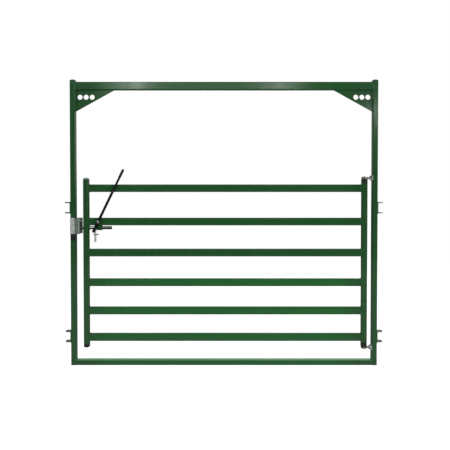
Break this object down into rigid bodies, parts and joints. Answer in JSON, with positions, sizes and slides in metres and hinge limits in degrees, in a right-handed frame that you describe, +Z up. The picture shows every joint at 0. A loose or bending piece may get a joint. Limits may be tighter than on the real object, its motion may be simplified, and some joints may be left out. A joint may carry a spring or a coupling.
{
  "type": "bow gate",
  "caption": "Swing gate with oval rails hung in a tall square-tube frame with a header bow, corner gussets, eye hinges and a lever-thrown slide bolt.",
  "frame": {"origin": "centre of the sill's underside, on the ground midway between the posts", "axes": "+X from the latch post to the hinge post, +Y away from the lever side, +Z up"},
  "size_m": [3.168, 0.0958, 2.842],
  "materials": {
    "green_paint": "gloss",
    "cap_plastic": "satin",
    "galvanised": "hot-dip galvanised",
    "zinc_bolts": "zinc plated",
    "eye_steel": "weathered plated steel",
    "bolt_tube": "weathered galvanised pipe",
    "black_paint": "gloss",
    "grip_rubber": "matte"
  },
  "bodies": {
    "frame": {"left_post": "green_paint", "right_post": "green_paint", "header": "green_paint", "sill": "green_paint", "left_post_cap": "cap_plastic", "right_post_cap": "cap_plastic", "left_gusset": "green_paint", "right_gusset": "green_paint", "connector_upper_left": "galvanised", "connector_upper_right": "galvanised", "connector_lower_left": "galvanised", "connector_lower_right": "galvanised", "keeper_front": "galvanised", "keeper_back": "galvanised", "keeper_ties": "galvanised", "top_hinge_flange": "galvanised", "top_hinge_eye": "eye_steel", "bottom_hinge_flange": "galvanised", "bottom_hinge_eye": "eye_steel"},
    "leaf": {"latch_stile": "green_paint", "hinge_stile": "green_paint", "rail_1": "green_paint", "rail_2": "green_paint", "rail_3": "green_paint", "rail_4": "green_paint", "rail_5": "green_paint", "rail_6": "green_paint", "stile_cap_top": "green_paint", "stile_cap_bottom": "green_paint", "hinge_pivot_top": "green_paint", "hinge_pivot_bottom": "green_paint", "guide_collar": "green_paint", "guide_block": "green_paint", "lever_pivot": "zinc_bolts"},
    "lever": {"lever_foot": "black_paint", "lever_sleeve": "black_paint", "lever_bar": "black_paint", "lever_grip": "grip_rubber"},
    "bolt": {"slide_bolt": "bolt_tube", "drive_pin": "zinc_bolts", "bolt_pull": "galvanised"}
  },
  "joints": [
    {"name": "gate_swing", "type": "hinge", "parent": "frame", "child": "leaf", "pos_m": [1.3978, 0, 0], "axis": [0, 0, 1], "range_deg": [-120, 120]},
    {"name": "lever_turn", "type": "hinge", "parent": "leaf", "child": "lever", "pos_m": [-1.2434, -0.04, 1.432], "axis": [0, 1, 0], "range_deg": [0, 22]},
    {"name": "bolt_slide", "type": "slide", "parent": "leaf", "child": "bolt", "axis": [-1, 0, 0], "range_m": [0, 0.03851]}
  ],
  "couplings": [
    {"joint": "bolt_slide", "follows": "lever_turn", "m_per_rad": 0.1003}
  ]
}
